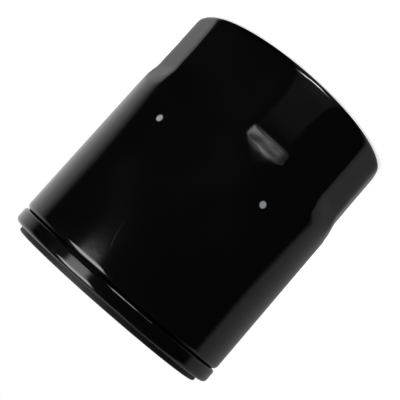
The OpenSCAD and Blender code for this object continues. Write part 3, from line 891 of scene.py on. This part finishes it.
# %% Place the camera
picture_size, focal_pixels = 400, 938.1
aim_z, aim_right_pixels, aim_up_pixels = 36.5 * MM, 4.26, 7.02
camera_distance, camera_height = 262 * MM, deg(6.35)
camera_turn, camera_roll = deg(7), deg(-138.825)

camera = add_object("camera", bpy.data.cameras.new("camera"))
scene.camera = camera
camera.data.lens = focal_pixels / picture_size * camera.data.sensor_width
away = Vector((
    math.sin(camera_turn) * math.cos(camera_height),
    -math.cos(camera_turn) * math.cos(camera_height),
    math.sin(camera_height)))
level = (-away).to_track_quat("-Z", "Y").to_matrix().to_4x4()
rolled = level @ Matrix.Rotation(camera_roll, 4, "Z")
nudge = Matrix.Rotation(math.atan(aim_right_pixels / focal_pixels), 4, "Y") @ Matrix.Rotation(
    -math.atan(aim_up_pixels / focal_pixels), 4, "X")
camera.matrix_world = Matrix.Translation(Vector((0, 0, aim_z)) + away * camera_distance) @ rolled @ nudge
print("lens in mm:", round(camera.data.lens, 1))

# %% [markdown]
# ## World and floor
# Gloss black shows what stands round it, so the studio matters more than the lamps. The floor and the
# world look white to the camera, but light the filter less, because that would wash out the black.

# %% Set the world
white, world_level = (1, 1, 1, 1), 0.35


def seen_directly(tree):
    """1 for a ray from the camera, a reflection or glass, and 0 for light that falls on a surface."""
    path = put(tree, "ShaderNodeLightPath").outputs
    direct = calc(tree, "ADD", path["Is Camera Ray"], path["Is Glossy Ray"])
    return calc(tree, "MINIMUM", calc(tree, "ADD", direct, path["Is Transmission Ray"]), 1)


scene.view_settings.view_transform = "Standard"
world = bpy.data.worlds.new("studio")
scene.world = world
world.use_nodes = True
world_tree = world.node_tree
world_strength = spread(world_tree, seen_directly(world_tree), 0, 1, world_level, 1)
fill(world_tree, world_tree.nodes["Background"], Color=white, Strength=world_strength)
print("world lights the filter at", world_level)

# %% Lay the floor
floor_pale, floor_glow, floor_half = (0.8, 0.8, 0.8, 1), 0.72, 4


def empty_material(name):
    """A material with no nodes yet, and its tree."""
    material, tree = new_finish(name)[:2]
    tree.nodes.clear()
    return material, tree


def stage_piece(bm, name, material):
    """Turns a bmesh into a piece of the studio, which isn't part of the filter."""
    piece = add_mesh(name, bm)
    piece.data.materials.append(material)
    return piece


floor_material, floor_tree = empty_material("floor")
matt = put(floor_tree, "ShaderNodeBsdfDiffuse", Color=floor_pale)
floor_strength = calc(floor_tree, "MULTIPLY", seen_directly(floor_tree), floor_glow)
lit = put(floor_tree, "ShaderNodeEmission", Color=white, Strength=floor_strength)
both = put(floor_tree, "ShaderNodeAddShader", in0=matt.outputs[0], in1=lit.outputs[0])
put(floor_tree, "ShaderNodeOutputMaterial", Surface=both.outputs[0])

floor_bm = bmesh.new()
bmesh.ops.create_grid(floor_bm, x_segments=1, y_segments=1, size=floor_half)
floor = stage_piece(floor_bm, "floor", floor_material)
print("floor is", round(floor.dimensions.x, 1), "m wide")

# %% [markdown]
# ## The tent
# Reflections see a tent instead of the white world, and nothing else sees it. It is black in front,
# as a photographer's flags are, and grey behind, so that the can's wall is dark in the middle and
# rises to soft pale bands at its sides. Cards and flags would need many planes. One glowing material
# does the same: the angle round the filter sets the walls, and the angle of climb sets the roof.

# %% Find a spot's place in the tent
tent_turn = math.pi / 2 - camera_turn
tent_material, tent = empty_material("tent")
tent_glow = put(tent, "ShaderNodeEmission", Color=white)
put(tent, "ShaderNodeOutputMaterial", Surface=tent_glow.outputs[0])
facing = put(tent, "ShaderNodeMapping", Vector=own_place(tent),
             Rotation=(0, 0, tent_turn)).outputs[0]
spot = parts_of(tent, facing)
to_camera, to_right, above_floor = spot["X"], spot["Y"], spot["Z"]
turn_round = calc(tent, "ARCTAN2", to_right, to_camera)
direction = put(tent, "ShaderNodeVectorMath", {"operation": "NORMALIZE"}, in0=facing).outputs[0]
climb = calc(tent, "ARCSINE", parts_of(tent, direction)["Z"])
spacing = length_of(tent, facing)
print("tent turned to the camera by degrees:", round(math.degrees(tent_turn), 1))

# %% Set its walls and its roof
bright_level, brighter_level, dim_level, roof_level = 0.5, 0.8, 0.24, 1
bright_from, bright_full, brighter_full = deg(103), deg(116), deg(134)
fade_from, fade_full = deg(158), deg(180)
dim_from, dim_full = deg(92), deg(102)
roof_from, roof_full = deg(70), deg(85)

rising_wall = calc(tent, "ADD",
                   spread(tent, turn_round, bright_from, bright_full, 0, bright_level),
                   spread(tent, turn_round, bright_full, brighter_full,
                          0, brighter_level - bright_level))
bright_wall = calc(tent, "SUBTRACT", rising_wall,
                   ease(tent, turn_round, fade_from, fade_full, 0, brighter_level - dim_level))
dim_wall = ease(tent, calc(tent, "MULTIPLY", turn_round, -1), dim_from, dim_full, 0, dim_level)
far_level = calc(tent, "ADD", bright_wall, dim_wall)
roof = ease(tent, climb, roof_from, roof_full, 0, roof_level)
print("tent walls:", brighter_level, dim_level, "roof:", roof_level)

# %% [markdown]
# ## The floor near the filter
# The camera looks a little down, so the foot of the can mirrors the floor close by, which is part of
# the tent. It glows behind a bent line, more on one side than on the other, so each grip flat takes
# one even tone and the ridges show. A faint strip in front keeps the nearest flat from going black.

# %% Set the near floor
near_r, far_r = 120 * MM, 150 * MM
near_bright, near_dim, near_half = 0.6, 0.22, 20 * MM
bright_slant, dim_slant, line_ahead, line_fade = 0.4, 0.15, 25 * MM, 5 * MM
strip_level, strip_slope, strip_aside = 0.095, 0.25, 4.25 * MM
strip_core, strip_edge = 6.3 * MM, 9.9 * MM
strip_from, strip_until = 80 * MM, 125 * MM

slanted = calc(tent, "MAXIMUM",
               calc(tent, "MULTIPLY", to_right, bright_slant),
               calc(tent, "MULTIPLY", to_right, -dim_slant))
ahead = calc(tent, "ADD", to_camera, slanted)
behind = ease(tent, ahead, line_ahead, line_ahead + line_fade, 1, 0)
near_side = spread(tent, to_right, -near_half, near_half, near_dim, near_bright)
along_strip = calc(tent, "MULTIPLY_ADD", to_camera, strip_slope, to_right)
off_strip = apart(tent, along_strip, strip_aside)
strip = calc(tent, "MULTIPLY",
             ease(tent, off_strip, strip_core, strip_edge, strip_level, 0),
             ease(tent, spacing, strip_from, strip_until, 1, 0))
near_level = blend_values(tent, behind, strip, near_side)
nearness = ease(tent, spacing, near_r, far_r, 1, 0)
walls = blend_values(tent, nearness, far_level, near_level)
print("near floor:", near_bright, near_dim, "strip:", strip_level)

# %% [markdown]
# ## The window
# One window stands to the camera's right. The camera looks level at the top of the wall only, so the
# window's streak starts near the seam and fades down the can. A lamp would do the same, but its edges
# couldn't be set one by one.

# %% Open a window in the tent
window_turn, window_lean, window_soft = deg(40.4), deg(2.6), deg(3)
window_low_half, window_mid_half, window_half = deg(5), deg(12), deg(20)
window_foot, window_sill, window_wide, window_head = 72 * MM, 98 * MM, 200 * MM, 300 * MM
sill_level, pane_level = 3.6, 4.5
head_from, head_full = deg(48), deg(58)

half_width = calc(tent, "ADD",
                  spread(tent, above_floor, window_foot, window_sill, window_low_half, window_mid_half),
                  spread(tent, above_floor, window_sill, window_wide, 0, window_half - window_mid_half))
window_middle = spread(
    tent, above_floor, window_sill, window_wide, window_turn, window_turn + window_lean)
off_middle = apart(tent, turn_round, window_middle)
past_edge = calc(tent, "SUBTRACT", off_middle, half_width)
inside = ease(tent, past_edge, -window_soft, window_soft, 1, 0)
pane = calc(tent, "ADD",
            ease(tent, above_floor, window_foot, window_sill, 0, sill_level),
            ease(tent, above_floor, window_sill, window_head, 0, pane_level))
below_head = ease(tent, climb, head_from, head_full, 1, 0)
window = calc(tent, "MULTIPLY", pane, calc(tent, "MULTIPLY", inside, below_head))
fill(tent, tent_glow, Strength=calc(tent, "MAXIMUM", roof, calc(tent, "ADD", walls, window)))
print("window levels:", sill_level, pane_level)

# %% Raise the tent
tent_r, tent_lift, tent_steps = 0.75, 0.05 * MM, 48
tent_bend_r = 0.99 * tent_r
tent_bm = bmesh.new()
draw_profile(tent_bm, [
    (corner_r - end_corner_r, tent_lift, 0),
    (tent_r, tent_lift, 0),
    (tent_r, tent_r, tent_bend_r),
    (0, tent_r, 0)])
spin_round(tent_bm, tent_steps)
tent_piece = stage_piece(tent_bm, "tent", tent_material)
tent_piece.visible_camera = False
tent_piece.visible_diffuse = False
tent_piece.visible_shadow = False
tent_piece.visible_transmission = False
print("tent is", round(tent_piece.dimensions.x, 2), "m across")

# %% [markdown]
# ## Lamps
# Two soft lamps, which reflections don't see, light the dots, the gasket and the floor. Two small ones
# by the closed end make the highlights on the grip, on a shoulder and on the rounded end corner. A
# narrow cone keeps each to its spot, and noise makes its glow patchy, as a mirrored room is.

# %% Set the soft lamps
def softbox(name, power, width, depth, place, target):
    """A lamp of a given width and depth that faces a point."""
    data = bpy.data.lights.new(name, "AREA")
    data.energy = power
    data.shape = "RECTANGLE"
    data.size = width
    data.size_y = depth
    lamp = add_object(name, data)
    lamp.location = place
    lamp.rotation_euler = (Vector(target) - Vector(place)).to_track_quat("-Z", "Y").to_euler()
    return lamp


def around(angle, distance, height):
    """A point at an angle in degrees from the camera's side, at a distance from the filter's axis."""
    turned = deg(angle) + camera_turn
    return Vector((math.sin(turned) * distance, -math.cos(turned) * distance, height))


middle = Vector((0, 0, 40 * MM))
overhead = softbox("overhead", power=1.5, width=0.5, depth=0.5, place=(0, 0, 0.7), target=middle)
key = softbox("key", power=1.7, width=0.38, depth=0.12,
              place=around(41, distance=0.39, height=0.43), target=middle)
for lamp in (overhead, key):
    lamp.visible_glossy = False
print("soft lamps:", overhead.name, key.name)

# %% Set the two highlights on the grip
glow_seed, glow_detail, glow_dark, glow_light, glow_least, glow_most = 5, 4, 0.42, 0.62, 0.25, 2.8
lamp_middle, lamp_core, lamp_edge = 0.5, 0.2, 0.5


def narrow(lamp, cone, glow_scale):
    """Keeps a lamp's light to a cone, hides the lamp itself, and makes its glow soft-edged and patchy."""
    lamp.data.spread = cone
    lamp.visible_camera = False
    lamp.data.use_nodes = True
    tree = lamp.data.node_tree
    spot_on_lamp = put(tree, "ShaderNodeNewGeometry").outputs["Parametric"]
    patchy = put(tree, "ShaderNodeTexNoise", {"noise_dimensions": "4D"},
                 Vector=spot_on_lamp, W=glow_seed, Scale=glow_scale, Detail=glow_detail).outputs[0]
    strength = spread(tree, patchy, glow_dark, glow_light, glow_least, glow_most)
    for axis in ("X", "Y"):
        along = parts_of(tree, spot_on_lamp)[axis]
        off_centre = apart(tree, along, lamp_middle)
        strength = calc(tree, "MULTIPLY", strength, ease(tree, off_centre, lamp_core, lamp_edge, 1, 0))
    fill(tree, tree.nodes["Emission"], Strength=strength)


kicker = softbox("kicker", power=0.000056, width=41 * MM, depth=15 * MM,
                 place=around(-10.1, distance=59.5 * MM, height=5.5 * MM),
                 target=around(-7, distance=33.4 * MM, height=22.25 * MM))
foot_light = softbox("foot_light", power=0.00013, width=17 * MM, depth=2.2 * MM,
                     place=around(-7, distance=34 * MM, height=0.8 * MM),
                     target=around(-7, distance=33.2 * MM, height=1.95 * MM))
narrow(kicker, cone=deg(26), glow_scale=5)
narrow(foot_light, cone=deg(34), glow_scale=3)
print("lamps:", len(bpy.data.lights))

# %% [markdown]
